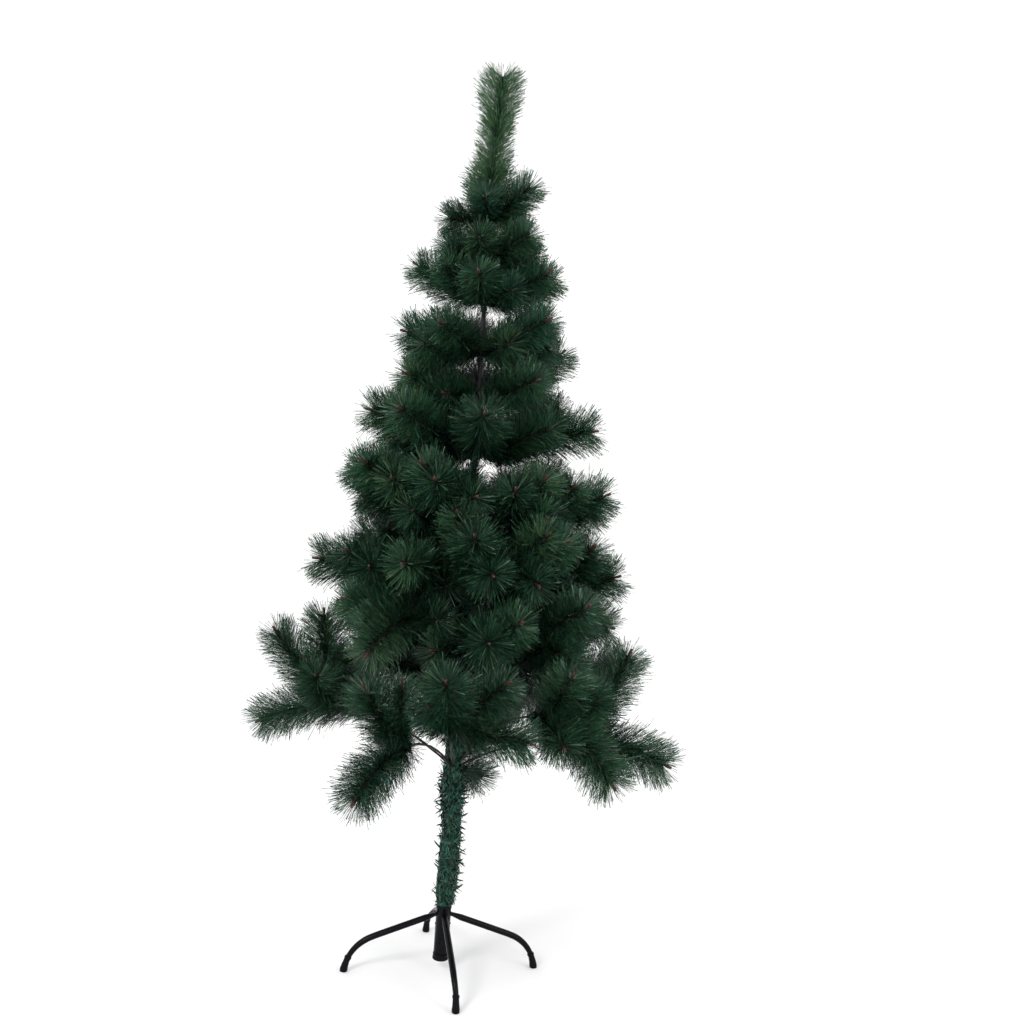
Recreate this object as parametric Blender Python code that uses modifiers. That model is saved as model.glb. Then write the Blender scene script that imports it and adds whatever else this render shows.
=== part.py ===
"""Artificial pine Christmas tree, 1.5 m tall, on a steel stand with four legs.

The tree is a thin tapering pole in a socket, with tinsel garland wound round its lower half and
eleven tiers of needle twigs. Each bough leaves the pole at its tier's height, climbs, arches over
and ends in a twig, with side twigs that fork off part of the way out. Every twig is a lobe, a
bottle brush of needles as one closed spindle, and the lobes of one bough, or of a few neighbours
in the small upper tiers, are joined into one foliage mass. The lowest tier's boughs are bare wire
as far as their masses. Metres, +Z up, origin on the floor under the pole.
"""

import math
import random

import bmesh
import bpy
from mathutils import Vector

# ---- driving sizes ----
TREE_TOP = 1.500            # highest needles
LEADER_TIP = 1.480          # tip of the pole's wire leader
GAP = 0.0003                # air between touching solids
SKIN = 0.0010               # air between neighbouring foliage masses
BRUSH = 0.036               # radius of a twig's bottle brush of needles
TIP_TAPER = 0.022           # length over which a brush narrows at its tip
TIP_WIDTH = 0.62            # a brush's end width over its full width
LOBE_SIDES = 6
LOBE_ROUGHNESS = 0.09       # how far a lobe's corners stray, over its radius
STRAIGHT_TIERS = "abcdefg"  # short boughs, with no bend in their lobes
NEEDLE_LEAD = 0.006         # how far the needles reach past a twig's tip
MASS_START = 0.08           # how far inside its fork a lowest mass starts, over the reach
WIRE_END = 0.02             # how far inside its fork a lowest bough's bare wire ends
SPIRE_HEIGHTS = (1.262, 1.340, 1.410, LEADER_TIP)

# stand
FOOT_REACH = 0.162          # pole axis to each foot
STAND_TURN = 10.5           # degrees that the legs' cross is turned about the pole
LEGS = (("right", 0.0, 0.0), ("back", 90.0, 5.0), ("left", 180.0, 0.0), ("front", 270.0, 1.0))
LEG_RADIUS = 0.0053
LEG_TOP = 0.0965            # height at which the legs leave the socket
CAP_RADIUS = 0.0062
CAP_HEIGHT = 0.026
SOCKET_RADIUS = 0.0125
SOCKET_BORE = 0.0106
SOCKET_BOTTOM = 0.030
SOCKET_TOP = 0.112
PLUG_RADIUS = 0.0135
PLUG_BOTTOM = 0.018
SPIGOT_TOP = 0.045

# pole: height, sideways offset and radius at each bend of the thin wire at its top
POLE = (
    (0.0453, 0.000, 0.0098),
    (0.330, 0.000, 0.0088),
    (0.620, 0.000, 0.0068),
    (0.860, 0.000, 0.0046),
    (1.120, -0.001, 0.0036),
    (1.250, -0.005, 0.0030),
    (1.330, -0.003, 0.0026),
    (1.400, 0.001, 0.0023),
    (LEADER_TIP, 0.003, 0.0020),
)

# garland of tinsel: height and outer radius along the pole
GARLAND_LOWER = (
    (SOCKET_TOP + GAP, 0.0130),
    (0.140, 0.0170),
    (0.205, 0.0180),
    (0.245, 0.0145),
    (0.275, 0.0155),
    (0.305, 0.0220),
    (0.335, 0.0150),
)
GARLAND_UPPER_BOTTOM = 0.368
GARLAND_UPPER_TOP = 0.700
GARLAND_UPPER_RADIUS = 0.0140
GARLAND_SIDES = 10

# lowest tier's bare wires
WIRE_RADIUS = 0.0016
WIRE_THINNING = 0.7         # tip radius over base radius

# tiers from the top: height on the pole, where the side twigs fork off, sideways brush size
TIERS = {
    "a": (1.245, 0.5, 0.80),
    "b": (1.184, 0.5, 0.84),
    "c": (1.113, 0.5, 0.88),
    "d": (1.031, 0.5, 0.92),
    "e": (0.953, 0.5, 0.95),
    "f": (0.862, 0.5, 1.00),
    "g": (0.745, 0.45, 1.00),
    "h": (0.620, 0.45, 1.00),
    "i": (0.500, 0.50, 1.00),
    "j": (0.346, 0.55, 1.00),
}

# foliage masses, tier by tier. Each bough is (azimuth, reach, climb, arch, side twigs) and each
# side twig is (swing, climb, length): angles in degrees, azimuth from +X, and lengths in metres.
MASSES = (
    ("a", "", ((-40, 0.084, 0.053, 0.0, ()), (-152, 0.070, 0.000, 0.0, ()),
               (100, 0.060, 0.075, 0.0, ()))),
    ("b", "", ((-42, 0.086, 0.040, 0.0, ()), (-150, 0.072, 0.012, 0.0, ()),
               (80, 0.085, 0.045, 0.0, ()))),
    ("c", "left", ((170, 0.122, 0.064, -0.004, ()),)),
    ("c", "front", ((-96, 0.120, 0.045, 0.0, ()), (-33, 0.121, 0.058, -0.004, ()))),
    ("c", "back", ((40, 0.110, 0.070, 0.0, ()), (105, 0.120, 0.065, 0.0, ()))),
    ("d", "left", ((-165, 0.135, 0.032, 0.0, ()), (-122, 0.130, 0.047, 0.0, ()))),
    ("d", "right", ((-62, 0.090, 0.020, 0.0, ()), (-38, 0.135, 0.065, 0.0, ()))),
    ("d", "back", ((30, 0.130, 0.070, 0.0, ()), (100, 0.130, 0.060, 0.0, ()))),
    ("e", "left", ((-148, 0.143, 0.043, 0.0, ()), (165, 0.132, 0.045, 0.0, ()))),
    ("e", "front", ((-125, 0.100, 0.015, 0.0, ()), (-52, 0.150, 0.045, 0.0, ()))),
    ("e", "right", ((22, 0.150, 0.100, -0.010, ()), (90, 0.150, 0.060, 0.0, ()))),
    ("f", "left", ((-158, 0.190, 0.072, 0.010, ()), (-130, 0.190, 0.080, 0.0, ()))),
    ("f", "front", ((-87, 0.195, 0.080, 0.0, ()), (-18, 0.203, 0.062, 0.008, ()))),
    ("f", "back", ((45, 0.190, 0.070, 0.010, ()), (97, 0.200, 0.070, 0.010, ()),
                   (148, 0.190, 0.075, 0.0, ()))),
    ("g", "left", ((-143, 0.219, 0.113, -0.003, ((29, 20, 0.12), (-25, 2, 0.10))),)),
    ("g", "front", ((-106, 0.210, 0.095, 0.0, ((33, 14, 0.12), (-20, 38, 0.12))),)),
    ("g", "front_right", ((-57, 0.215, 0.045, 0.0, ((-26, 34, 0.12), (6, 42, 0.13))),)),
    ("g", "right", ((-15, 0.228, 0.080, -0.005, ((-40, 30, 0.125), (32, 7, 0.125))),)),
    ("g", "back_right", ((55, 0.220, 0.085, 0.010, ((-36, 25, 0.12), (34, 10, 0.12))),)),
    ("g", "back_left", ((128, 0.225, 0.085, 0.010, ((-34, 10, 0.12), (36, 28, 0.12))),)),
    ("h", "left", ((-168, 0.253, 0.070, 0.012, ((38, 22, 0.135), (63, 13, 0.15))),)),
    ("h", "front", ((-114, 0.240, 0.090, 0.020, ()),
                    (-81, 0.255, 0.084, 0.030, ((-34, 49, 0.14), (-14, 31, 0.145))))),
    ("h", "front_right", ((-64, 0.250, 0.070, 0.030, ((10, 36, 0.15), (28, 30, 0.15))),)),
    ("h", "right", ((-15, 0.255, 0.075, -0.005, ((-32, 38, 0.16), (32, 28, 0.13))),)),
    ("h", "back_right", ((52, 0.250, 0.090, 0.030, ((-34, 12, 0.14), (32, 30, 0.13))),)),
    ("h", "back_left", ((125, 0.255, 0.090, 0.030, ((-34, 28, 0.13), (38, 10, 0.14))),)),
    ("i", "left", ((145, 0.240, 0.095, 0.040, ((-36, 14, 0.12), (30, 12, 0.10))),)),
    ("i", "front_left", ((-117, 0.305, 0.077, 0.073, ((-18, 0, 0.12), (-54, 15, 0.125))),)),
    ("i", "front", ((-82, 0.285, 0.110, 0.020, ((22, 26, 0.15), (-45, 5, 0.11))),)),
    ("i", "front_right", ((-50, 0.271, 0.067, 0.047, ((3, 30, 0.17), (39, 22, 0.13))),)),
    ("i", "right", ((6, 0.255, 0.095, 0.040, ((-32, 24, 0.12), (36, 10, 0.12))),)),
    ("i", "back", ((78, 0.290, 0.090, 0.050, ((-38, 12, 0.14), (36, 24, 0.14))),)),
    ("j", "left", ((166, 0.355, 0.036, 0.062,
                    ((9, 44, 0.183), (36, 74, 0.176), (87, 30, 0.16), (-45, 17, 0.135))),)),
    ("j", "front_left", ((-112, 0.372, 0.032, 0.063, ((-16, 47, 0.15), (15, 62, 0.13))),)),
    ("j", "front", ((-93, 0.361, 0.222, -0.006,
                     ((64, 0, 0.145), (47, 38, 0.155), (-13, 26, 0.13))),)),
    ("j", "front_right", ((-50, 0.370, 0.061, 0.098,
                           ((-12, 47, 0.12), (-25, -9, 0.12), (32, 24, 0.10))),)),
    ("j", "right", ((-24, 0.370, 0.064, 0.048,
                     ((5, 61, 0.178), (-59, 42, 0.16), (59, -24, 0.10))),)),
    ("j", "back_right", ((42, 0.350, 0.060, 0.080,
                          ((-38, 24, 0.15), (24, 22, 0.15), (75, -20, 0.15))),)),
    ("j", "back_left", ((96, 0.360, 0.050, 0.080,
                         ((-80, -20, 0.15), (-28, 30, 0.14), (40, 16, 0.16))),)),
)


# ---- scene helpers ----
def clear_scene():
    for old in list(bpy.data.objects):
        bpy.data.objects.remove(old, do_unlink=True)


def new_collection(name, parent=None):
    made = bpy.data.collections.new(name)
    (parent or bpy.context.scene.collection).children.link(made)
    return made


def material(name, colour, roughness, metallic=0.0):
    made = bpy.data.materials.new(name)
    made.use_nodes = True
    shader = made.node_tree.nodes["Principled BSDF"]
    shader.inputs["Base Color"].default_value = (*colour, 1.0)
    shader.inputs["Roughness"].default_value = roughness
    shader.inputs["Metallic"].default_value = metallic
    return made


def keep_as_cutter(obj):
    obj.hide_render = True
    obj.display_type = "WIRE"
    return obj


def polar(azimuth, reach, height):
    angle = math.radians(azimuth)
    return Vector((reach * math.cos(angle), reach * math.sin(angle), height))


# ---- shape helpers ----
def tube(name, points, radii, sides, collection):
    """Poly curve with a round section of its own radius at each point, and filled caps."""
    curve = bpy.data.curves.new(name, "CURVE")
    curve.dimensions = "3D"
    curve.bevel_depth = 1.0
    curve.bevel_resolution = (sides - 4) // 2
    curve.use_fill_caps = True
    spline = curve.splines.new("POLY")
    spline.points.add(len(points) - 1)
    for place, point, radius in zip(spline.points, points, radii):
        place.co = (*point, 1.0)
        place.radius = radius
    made = bpy.data.objects.new(name, curve)
    collection.objects.link(made)
    return made


def as_mesh(obj, weld=0.00001):
    """Swap an object for a plain mesh of what it evaluates to, caps welded."""
    name = obj.name
    homes = list(obj.users_collection)
    materials = [slot.material for slot in obj.material_slots if slot.material]
    graph = bpy.context.evaluated_depsgraph_get()
    graph.update()
    mesh = bpy.data.meshes.new_from_object(obj.evaluated_get(graph))
    mesh.transform(obj.matrix_world)
    work = bmesh.new()
    work.from_mesh(mesh)
    bmesh.ops.remove_doubles(work, verts=work.verts, dist=weld)
    bmesh.ops.recalc_face_normals(work, faces=work.faces)
    work.to_mesh(mesh)
    work.free()
    bpy.data.objects.remove(obj, do_unlink=True)
    made = bpy.data.objects.new(name, mesh)
    for home in homes:
        home.objects.link(made)
    if materials and not made.data.materials:
        made.data.materials.append(materials[0])
    return made


def turned(name, profile, sides, collection):
    """Closed turned solid: a profile of (radius, height), outer side from top to bottom."""
    mesh = bpy.data.meshes.new(name)
    points = [(radius, 0.0, height) for radius, height in profile]
    edges = [(i, (i + 1) % len(points)) for i in range(len(points))]
    if profile[0][0] == 0.0:
        edges.pop()
    mesh.from_pydata(points, edges, [])
    made = bpy.data.objects.new(name, mesh)
    collection.objects.link(made)
    screw = made.modifiers.new("turn", "SCREW")
    screw.axis = "Z"
    screw.steps = sides
    screw.render_steps = sides
    screw.use_merge_vertices = True
    screw.merge_threshold = 0.00001
    return made


def boolean(obj, operation, other):
    cut = obj.modifiers.new(operation.lower(), "BOOLEAN")
    cut.operation = operation
    cut.solver = "EXACT"
    cut.object = other


def largest_body(mesh):
    """Drop every loose crumb that a cut left beside the main body."""
    work = bmesh.new()
    work.from_mesh(mesh)
    left = set(work.faces)
    bodies = []
    while left:
        body = set()
        waiting = [left.pop()]
        while waiting:
            face = waiting.pop()
            body.add(face)
            for edge in face.edges:
                for near in edge.link_faces:
                    if near in left:
                        left.remove(near)
                        waiting.append(near)
        bodies.append(body)
    bodies.sort(key=lambda body: sum(face.calc_area() for face in body))
    crumbs = [face for body in bodies[:-1] for face in body]
    bmesh.ops.delete(work, geom=crumbs, context="FACES")
    work.to_mesh(mesh)
    work.free()


# ---- the pole and its garland ----
def pole_point(height):
    """Point on the pole's centre line at a height."""
    for (low, x_low, _), (high, x_high, _) in zip(POLE, POLE[1:]):
        if height <= high:
            share = max(0.0, (height - low) / (high - low))
            return Vector((x_low + share * (x_high - x_low), 0.0, height))
    return Vector((POLE[-1][1], 0.0, height))


def pole_tube(name, extra, collection):
    points = [(x, 0.0, height) for height, x, _ in POLE]
    radii = [radius + extra for _, _, radius in POLE]
    points[0] = (0.0, 0.0, POLE[0][0] - extra)
    points[-1] = (POLE[-1][1], 0.0, POLE[-1][0] + extra)
    return tube(name, points, radii, 8, collection)


def garland(name, outline, clearance, collection):
    """Uneven sleeve of tinsel round the pole, with a bore that the pole passes through."""
    top = outline[-1][0]
    bottom = outline[0][0]
    profile = [(radius, height) for height, radius in reversed(outline)]
    bore_low = pole_radius(bottom) + clearance
    bore_high = pole_radius(top) + clearance
    inner = [(bore_low, bottom), (bore_high, top)]
    return turned(name, profile + inner, GARLAND_SIDES, collection)


def pole_radius(height):
    for (low, _, r_low), (high, _, r_high) in zip(POLE, POLE[1:]):
        if height <= high:
            share = max(0.0, (height - low) / (high - low))
            return r_low + share * (r_high - r_low)
    return POLE[-1][2]


# ---- boughs, twigs and foliage ----
def bough_point(tier, bough, share):
    """Point on a bough: from the pole, climbing evenly and bowed up by its arch."""
    azimuth, reach, climb, arch, _ = bough
    height = TIERS[tier][0]
    root = pole_point(height)
    rise = climb * share + 4.0 * arch * share * (1.0 - share)
    return root + polar(azimuth, reach * share, rise)


def twig_ends(tier, bough, twig):
    """A side twig: straight out of its fork, by its own swing and climb."""
    fork = bough_point(tier, bough, TIERS[tier][1])
    swing, climb, length = twig
    flat = length * math.cos(math.radians(climb))
    along = polar(bough[0] + swing, flat, length * math.sin(math.radians(climb)))
    return [fork, fork + along]


def lobe(name, points, width, start_width, collection, lead=NEEDLE_LEAD):
    """Bottle brush of needles round a twig: narrow at its start, widest near its tip."""
    ahead = (points[-1] - points[-2]).normalized()
    stations = points[:-1] + [points[-1] - ahead * TIP_TAPER, points[-1] + ahead * lead]
    radii = [start_width] + [width] * (len(stations) - 2) + [width * TIP_WIDTH]
    dice = random.Random(name)
    radii = [radius * dice.uniform(0.92, 1.08) for radius in radii]
    made = as_mesh(tube(name, stations, radii, LOBE_SIDES, collection))
    work = bmesh.new()
    work.from_mesh(made.data)
    bmesh.ops.triangulate(work, faces=work.faces, quad_method="FIXED")
    for corner in work.verts:
        push = Vector([dice.uniform(-LOBE_ROUGHNESS, LOBE_ROUGHNESS) for _ in range(3)])
        corner.co += push * width
    work.to_mesh(made.data)
    work.free()
    return made


def thickened(lobe_mesh, collection):
    """Copy of a lobe that is fatter all round, to keep a neighbouring mass clear of it."""
    work = bmesh.new()
    work.from_mesh(lobe_mesh.data)
    work.normal_update()
    moved = [corner.co + corner.normal * corner.calc_shell_factor() * SKIN
             for corner in work.verts]
    for corner, place in zip(work.verts, moved):
        corner.co = place
    mesh = bpy.data.meshes.new(lobe_mesh.name + "_fat")
    work.to_mesh(mesh)
    work.free()
    made = bpy.data.objects.new(mesh.name, mesh)
    collection.objects.link(made)
    return keep_as_cutter(made)


def bough_lobes(tag, tier, bough, collection):
    """The lobes of one bough: its own outer stretch and each of its side twigs."""
    _, fork, size = TIERS[tier]
    width = BRUSH * size
    start = fork - MASS_START if tier == "j" else 0.0
    straight = tier in STRAIGHT_TIERS
    steps = 1 if straight else 2
    points = [bough_point(tier, bough, start + (1.0 - start) * i / steps)
              for i in range(steps + 1)]
    start_width = (0.8 if straight else 0.5) * width
    made = [lobe(tag + "_main", points, width, start_width, collection)]
    for number, twig in enumerate(bough[4]):
        made.append(lobe(tag + "_twig%d" % number, twig_ends(tier, bough, twig),
                         width * 0.94, width * 0.6, collection))
    return made


def sector(name, low, high, collection):
    """Wedge of space round the pole between two azimuths, the share of one mass in its tier."""
    half = 0.5 * (high - low)
    middle = 0.5 * (low + high)
    apex = polar(middle, 0.5 * SKIN / math.sin(math.radians(half)), 0.0)
    count = max(2, math.ceil((high - low) / 40.0))
    outline = [apex]
    for i in range(count + 1):
        outline.append(apex + polar(low + (high - low) * i / count, 0.7, 0.0))
    work = bmesh.new()
    floor = [work.verts.new(point) for point in outline]
    face = work.faces.new(floor)
    lifted = bmesh.ops.extrude_face_region(work, geom=[face])
    top = [item for item in lifted["geom"] if isinstance(item, bmesh.types.BMVert)]
    bmesh.ops.translate(work, verts=top, vec=(0.0, 0.0, TREE_TOP + 0.1))
    bmesh.ops.recalc_face_normals(work, faces=work.faces)
    mesh = bpy.data.meshes.new(name)
    work.to_mesh(mesh)
    work.free()
    made = bpy.data.objects.new(name, mesh)
    collection.objects.link(made)
    return keep_as_cutter(made)


def sector_limits(tier):
    """Azimuths between which each mass of a tier lies, half-way to its neighbours' boughs."""
    spans = []
    for key, name, boughs in MASSES:
        if key == tier:
            angles = [bough[0] % 360.0 for bough in boughs]
            first = angles[0]
            angles = [first + (angle - first + 180.0) % 360.0 - 180.0 for angle in angles]
            spans.append([name, min(angles), max(angles)])
    if len(spans) == 1:
        return {}
    spans.sort(key=lambda span: span[1] % 360.0)
    limits = {}
    for i, (name, low, high) in enumerate(spans):
        before = spans[i - 1][2]
        after = spans[(i + 1) % len(spans)][1]
        back = (low - before) % 360.0
        ahead = (after - high) % 360.0
        limits[name] = (low - 0.5 * back, high + 0.5 * ahead)
    return limits


def boxes_meet(a, b):
    low_a = [min(v.co[i] for v in a.data.vertices) for i in range(3)]
    high_a = [max(v.co[i] for v in a.data.vertices) for i in range(3)]
    low_b = [min(v.co[i] for v in b.data.vertices) for i in range(3)]
    high_b = [max(v.co[i] for v in b.data.vertices) for i in range(3)]
    return all(low_a[i] < high_b[i] and low_b[i] < high_a[i] for i in range(3))


def foliage_mass(tier, name, boughs, limits, clear_of, parts, cutters, paint):
    """One closed mass: its lobes joined, kept to its sector and clear of what is there.

    Gives back the fatter copies of its lobes, for the masses below it to keep clear of.
    """
    label = "mass_" + tier + ("_" + name if name else "")
    group = new_collection(label + "_lobes", cutters)
    pieces = []
    for number, bough in enumerate(boughs):
        pieces += bough_lobes("%s_bough%d" % (label, number), tier, bough, group)
    fat = new_collection(label + "_fat", cutters)
    new_fat = [thickened(piece, fat) for piece in pieces]
    body = pieces[0]
    group.objects.unlink(body)
    parts.objects.link(body)
    body.name = label
    for piece in pieces[1:]:
        boolean(body, "UNION", keep_as_cutter(piece))
    body = as_mesh(body)
    if name in limits:
        low, high = limits[name]
        boolean(body, "INTERSECT", sector(label + "_sector", low, high, cutters))
    for obstacle in clear_of:
        if boxes_meet(body, obstacle):
            boolean(body, "DIFFERENCE", obstacle)
    body.name = label
    body = as_mesh(body)
    largest_body(body.data)
    body.data.materials.clear()
    body.data.materials.append(paint)
    return new_fat


def bare_wire(name, tier, bough, extra, collection):
    """The bare wire of a lowest bough, from inside the pole into its mass."""
    end = TIERS[tier][1] - WIRE_END
    steps = 4
    points = [bough_point(tier, bough, end * i / steps) for i in range(steps + 1)]
    thin = 1.0 - WIRE_THINNING
    radii = [WIRE_RADIUS * (1.0 - thin * i / steps) + extra for i in range(steps + 1)]
    ahead = (points[-1] - points[-2]).normalized()
    points[-1] = points[-1] + ahead * extra
    return tube(name, points, radii, 6, collection)


# ---- the stand ----
def leg_outline():
    """Slope, bend and foot of a leg: (reach, height, share of the foot's swing, radius over
    the leg's own)."""
    return (
        (0.006, LEG_TOP + 0.0025, 0.0, 0.60),
        (0.016, LEG_TOP - 0.0010, 0.0, 0.60),
        (0.028, LEG_TOP - 0.0055, 0.0, 1.00),
        (0.114, 0.0603, 0.0, 1.00),
        (0.131, 0.0527, 0.1, 0.98),
        (0.143, 0.0430, 0.4, 0.92),
        (0.151, 0.0330, 0.8, 0.87),
        (FOOT_REACH - 0.006, 0.0240, 1.0, 0.84),
        (FOOT_REACH - 0.001, 0.0090, 1.0, 0.84),
    )


def stand_leg(name, azimuth, swing, extra, collection):
    points = []
    radii = []
    for reach, height, share, width in leg_outline():
        points.append(polar(azimuth + swing * share, reach, height))
        radii.append(LEG_RADIUS * width + extra)
    ahead = (points[-1] - points[-2]).normalized()
    points[-1] = points[-1] + ahead * extra
    return tube(name, points, radii, 8, collection)


def foot_cap(name, azimuth, leg_clear, collection):
    """Plastic cap on a foot: a sleeve with a flat underside, bored for the leg's end."""
    outline = (
        (FOOT_REACH - 0.0065, CAP_HEIGHT),
        (FOOT_REACH - 0.0010, 0.0100),
        (FOOT_REACH, 0.0015),
        (FOOT_REACH, 0.0),
    )
    points = [polar(azimuth, reach, height) for reach, height in outline]
    radii = [CAP_RADIUS, CAP_RADIUS, CAP_RADIUS, CAP_RADIUS * 0.9]
    cap = as_mesh(tube(name, points, radii, 8, collection))
    boolean(cap, "DIFFERENCE", leg_clear)
    return as_mesh(cap)


def build_stand(parts, cutters, steel, plastic):
    socket = turned("stand_socket", (
        (SOCKET_RADIUS, SOCKET_TOP),
        (SOCKET_RADIUS, SOCKET_BOTTOM),
        (SOCKET_BORE, SOCKET_BOTTOM),
        (SOCKET_BORE, SOCKET_TOP),
    ), 12, parts)
    socket.data.materials.append(steel)
    spigot = SOCKET_BORE - GAP
    plug = turned("stand_plug", (
        (0.0, SPIGOT_TOP),
        (spigot, SPIGOT_TOP),
        (spigot, SOCKET_BOTTOM - GAP),
        (PLUG_RADIUS, SOCKET_BOTTOM - GAP),
        (PLUG_RADIUS, PLUG_BOTTOM + 0.002),
        (PLUG_RADIUS - 0.002, PLUG_BOTTOM),
        (0.0, PLUG_BOTTOM),
    ), 12, parts)
    plug.data.materials.append(plastic)
    around = as_mesh(turned("clear_socket", (
        (0.0, SOCKET_TOP),
        (SOCKET_RADIUS + GAP, SOCKET_TOP),
        (SOCKET_RADIUS + GAP, SOCKET_BOTTOM),
        (0.0, SOCKET_BOTTOM),
    ), 12, cutters))
    keep_as_cutter(around)
    for side, azimuth, swing in LEGS:
        slope = azimuth + STAND_TURN - swing
        leg = as_mesh(stand_leg("stand_leg_" + side, slope, swing, 0.0, parts))
        boolean(leg, "DIFFERENCE", around)
        leg = as_mesh(leg)
        leg.data.materials.append(steel)
        clear = as_mesh(stand_leg("clear_leg_" + side, slope, swing, GAP, cutters))
        keep_as_cutter(clear)
        cap = foot_cap("foot_cap_" + side, azimuth + STAND_TURN, clear, parts)
        cap.data.materials.append(plastic)


def build():
    clear_scene()
    parts = new_collection("artificial_pine_tree")
    cutters = new_collection("cutters")
    steel = material("black_steel", (0.012, 0.012, 0.014), 0.35, 0.3)
    plastic = material("black_plastic", (0.010, 0.010, 0.011), 0.45)
    pole_paint = material("pole_grey", (0.10, 0.09, 0.10), 0.5, 0.4)
    tinsel = material("tinsel_green", (0.02, 0.12, 0.08), 0.4, 0.2)
    needles = material("needle_green", (0.012, 0.055, 0.028), 0.6)
    wire_paint = material("wire_dark", (0.03, 0.02, 0.018), 0.5, 0.2)

    build_stand(parts, cutters, steel, plastic)

    pole = pole_tube("trunk_pole", 0.0, parts)
    pole.data.materials.append(pole_paint)
    pole_clear = as_mesh(pole_tube("clear_pole", GAP, cutters))
    keep_as_cutter(pole_clear)

    lower = garland("garland_lower", GARLAND_LOWER, 0.0005, parts)
    lower.data.materials.append(tinsel)
    sleeve = ((GARLAND_UPPER_BOTTOM, GARLAND_UPPER_RADIUS - 0.003),
              (GARLAND_UPPER_BOTTOM + 0.012, GARLAND_UPPER_RADIUS),
              (GARLAND_UPPER_TOP, GARLAND_UPPER_RADIUS))
    upper = garland("garland_upper", sleeve, 0.0005, parts)
    upper.data.materials.append(tinsel)
    wide = tuple((height + grow, radius + GAP)
                 for (height, radius), grow in zip(sleeve, (-GAP, 0.0, GAP)))
    upper_clear = as_mesh(garland("clear_garland", wide, -0.002, cutters))
    keep_as_cutter(upper_clear)

    clear_of = [pole_clear, upper_clear]
    for tier, name, boughs in MASSES:
        if tier == "j":
            wire = as_mesh(bare_wire("bough_j_" + name, tier, boughs[0], 0.0, parts))
            boolean(wire, "DIFFERENCE", pole_clear)
            wire = as_mesh(wire)
            wire.data.materials.append(wire_paint)
            clear = as_mesh(bare_wire("clear_bough_" + name, tier, boughs[0], GAP, cutters))
            clear_of.append(keep_as_cutter(clear))

    fat_lobes = []
    leader = [pole_point(height) for height in SPIRE_HEIGHTS]
    lead = TREE_TOP - LEADER_TIP
    spire = lobe("mass_spire", leader, BRUSH * 0.86, BRUSH * 0.5, parts, lead)
    fat_lobes.append(thickened(spire, cutters))
    boolean(spire, "DIFFERENCE", pole_clear)
    spire = as_mesh(spire)
    spire.data.materials.append(needles)

    for tier in TIERS:
        limits = sector_limits(tier)
        tier_fat = []
        for key, name, boughs in MASSES:
            if key == tier:
                tier_fat += foliage_mass(tier, name, boughs, limits, clear_of + fat_lobes,
                                         parts, cutters, needles)
        fat_lobes += tier_fat


build()
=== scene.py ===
"""Looks of the artificial pine Christmas tree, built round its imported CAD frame.

Every bough and twig is a twisted wire with a bottle brush of film needles, grown by a seeded rule
from the same named sizes as the CAD model's foliage masses. The pole, the tinsel round it and the
stand follow the CAD nodes that they replace. Metres, +Z up, origin on the floor under the pole.
"""

import math

import bpy
import numpy as np
from mathutils import Matrix, Vector


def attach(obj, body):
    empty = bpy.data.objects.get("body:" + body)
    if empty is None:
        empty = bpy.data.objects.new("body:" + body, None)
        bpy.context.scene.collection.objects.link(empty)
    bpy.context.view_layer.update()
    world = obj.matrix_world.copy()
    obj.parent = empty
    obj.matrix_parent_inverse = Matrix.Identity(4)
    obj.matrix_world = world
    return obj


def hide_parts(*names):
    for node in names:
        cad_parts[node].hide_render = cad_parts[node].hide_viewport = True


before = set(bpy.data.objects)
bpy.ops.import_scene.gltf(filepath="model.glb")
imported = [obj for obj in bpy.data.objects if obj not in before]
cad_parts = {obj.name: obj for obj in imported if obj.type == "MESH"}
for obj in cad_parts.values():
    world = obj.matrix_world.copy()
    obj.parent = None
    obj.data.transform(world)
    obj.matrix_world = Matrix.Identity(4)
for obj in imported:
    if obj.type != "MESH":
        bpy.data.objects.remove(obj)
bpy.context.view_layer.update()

# ---- tree, as in the CAD model ----
LEADER_TIP = 1.480
LEADER_START = 1.262        # height at which the pole ends and its wire leader goes on

# pole: height, sideways offset and radius at each bend
POLE = (
    (0.0453, 0.000, 0.0098),
    (0.330, 0.000, 0.0088),
    (0.620, 0.000, 0.0068),
    (0.860, 0.000, 0.0046),
    (1.120, -0.001, 0.0036),
    (1.250, -0.005, 0.0030),
    (1.330, -0.003, 0.0026),
    (1.400, 0.001, 0.0023),
    (LEADER_TIP, 0.003, 0.0020),
)

# tiers from the top: height on the pole, where the side twigs fork off, size of its brushes
TIERS = {
    "a": (1.245, 0.5, 0.80),
    "b": (1.184, 0.5, 0.84),
    "c": (1.113, 0.5, 0.88),
    "d": (1.031, 0.5, 0.92),
    "e": (0.953, 0.5, 0.95),
    "f": (0.862, 0.5, 1.00),
    "g": (0.745, 0.45, 1.00),
    "h": (0.620, 0.45, 1.00),
    "i": (0.500, 0.50, 1.00),
    "j": (0.346, 0.55, 1.00),
}

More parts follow.
